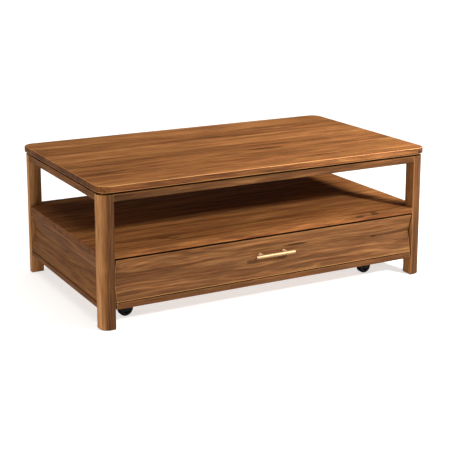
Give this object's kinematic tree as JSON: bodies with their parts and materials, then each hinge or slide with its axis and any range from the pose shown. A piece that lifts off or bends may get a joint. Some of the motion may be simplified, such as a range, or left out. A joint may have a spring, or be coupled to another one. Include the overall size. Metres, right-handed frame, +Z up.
{
  "type": "coffee table",
  "caption": "Rectangular wooden coffee table with rounded corners, an open shelf and a full-width hollow-faced drawer that rolls out on swivel casters.",
  "frame": {"origin": "on the floor under the middle of the table top", "axes": "+X along the table's length, -Y towards the drawer front, +Z up"},
  "size_m": [1.219, 0.7235, 0.457],
  "materials": {
    "top_walnut": "satin lacquer over walnut grain along the length",
    "shelf_walnut": "satin lacquer over walnut grain along the length",
    "drawer_front_walnut": "satin lacquer over walnut grain along the length",
    "panel_walnut": "satin lacquer over walnut grain along the length",
    "rail_walnut": "satin lacquer over walnut grain along the length",
    "leg_walnut": "satin lacquer over upright walnut grain",
    "frame_beech": "bare planed beech",
    "drawer_box_wood": "thin stain and matt lacquer",
    "zinc_steel": "zinc-plated steel",
    "handle_brass": "brushed brass",
    "caster_steel": "black powder coat",
    "wheel_plastic": "moulded black nylon",
    "wheel_rubber": "smooth black rubber",
    "glide_plastic": "moulded nylon",
    "stop_rubber": "plain rubber"
  },
  "bodies": {
    "table": {"table_top": "top_walnut", "shelf": "shelf_walnut", "leg_front_left": "leg_walnut", "leg_front_right": "leg_walnut", "leg_back_left": "leg_walnut", "leg_back_right": "leg_walnut", "apron_front": "rail_walnut", "apron_back": "rail_walnut", "apron_left": "rail_walnut", "apron_right": "rail_walnut", "side_panel_left": "panel_walnut", "side_panel_right": "panel_walnut", "back_panel": "panel_walnut", "corner_blocks": "frame_beech", "shelf_cleat_left": "frame_beech", "shelf_cleat_right": "frame_beech", "shelf_cleat_back": "frame_beech", "apron_dowels": "frame_beech", "panel_dowels": "frame_beech", "shelf_dowels": "frame_beech", "leg_bolts": "zinc_steel", "leg_bolt_nuts": "zinc_steel", "top_screws": "zinc_steel", "shelf_screws": "zinc_steel", "cleat_screws": "zinc_steel", "guide_screws": "zinc_steel", "foot_glides": "glide_plastic", "drawer_guide_left": "frame_beech", "drawer_guide_right": "frame_beech", "drawer_stops": "stop_rubber"},
    "drawer": {"drawer_front": "drawer_front_walnut", "drawer_side_left": "drawer_box_wood", "drawer_side_right": "drawer_box_wood", "drawer_inner_front": "drawer_box_wood", "drawer_back": "drawer_box_wood", "drawer_bottom": "drawer_box_wood", "drawer_front_screws": "zinc_steel", "drawer_box_screws": "zinc_steel", "drawer_bottom_screws": "zinc_steel", "handle_screws": "zinc_steel", "handle_bar": "handle_brass", "handle_posts": "handle_brass", "caster_plates": "caster_steel", "caster_screws": "zinc_steel"},
    "caster_front_left": {"caster_fork_front_left": "caster_steel", "caster_axle_front_left": "caster_steel"},
    "wheel_front_left": {"wheel_hub_front_left": "wheel_plastic", "wheel_tyre_front_left": "wheel_rubber"},
    "caster_front_right": {"caster_fork_front_right": "caster_steel", "caster_axle_front_right": "caster_steel"},
    "wheel_front_right": {"wheel_hub_front_right": "wheel_plastic", "wheel_tyre_front_right": "wheel_rubber"},
    "caster_back_left": {"caster_fork_back_left": "caster_steel", "caster_axle_back_left": "caster_steel"},
    "wheel_back_left": {"wheel_hub_back_left": "wheel_plastic", "wheel_tyre_back_left": "wheel_rubber"},
    "caster_back_right": {"caster_fork_back_right": "caster_steel", "caster_axle_back_right": "caster_steel"},
    "wheel_back_right": {"wheel_hub_back_right": "wheel_plastic", "wheel_tyre_back_right": "wheel_rubber"}
  },
  "joints": [
    {"name": "drawer_slide", "type": "slide", "parent": "table", "child": "drawer", "axis": [0, -1, 0], "range_m": [0, 0.45]},
    {"name": "caster_swivel_front_left", "type": "hinge", "parent": "drawer", "child": "caster_front_left", "pos_m": [-0.4585, -0.2395, 0.06], "axis": [0, 0, 1], "continuous": true},
    {"name": "wheel_spin_front_left", "type": "hinge", "parent": "caster_front_left", "child": "wheel_front_left", "pos_m": [-0.4825, -0.2395, 0.025], "axis": [0, 1, 0], "continuous": true},
    {"name": "caster_swivel_front_right", "type": "hinge", "parent": "drawer", "child": "caster_front_right", "pos_m": [0.4585, -0.2395, 0.06], "axis": [0, 0, 1], "continuous": true},
    {"name": "wheel_spin_front_right", "type": "hinge", "parent": "caster_front_right", "child": "wheel_front_right", "pos_m": [0.4345, -0.2395, 0.025], "axis": [0, 1, 0], "continuous": true},
    {"name": "caster_swivel_back_left", "type": "hinge", "parent": "drawer", "child": "caster_back_left", "pos_m": [-0.4585, 0.2271, 0.06], "axis": [0, 0, 1], "continuous": true},
    {"name": "wheel_spin_back_left", "type": "hinge", "parent": "caster_back_left", "child": "wheel_back_left", "pos_m": [-0.4825, 0.2271, 0.025], "axis": [0, 1, 0], "continuous": true},
    {"name": "caster_swivel_back_right", "type": "hinge", "parent": "drawer", "child": "caster_back_right", "pos_m": [0.4585, 0.2271, 0.06], "axis": [0, 0, 1], "continuous": true},
    {"name": "wheel_spin_back_right", "type": "hinge", "parent": "caster_back_right", "child": "wheel_back_right", "pos_m": [0.4345, 0.2271, 0.025], "axis": [0, 1, 0], "continuous": true}
  ]
}
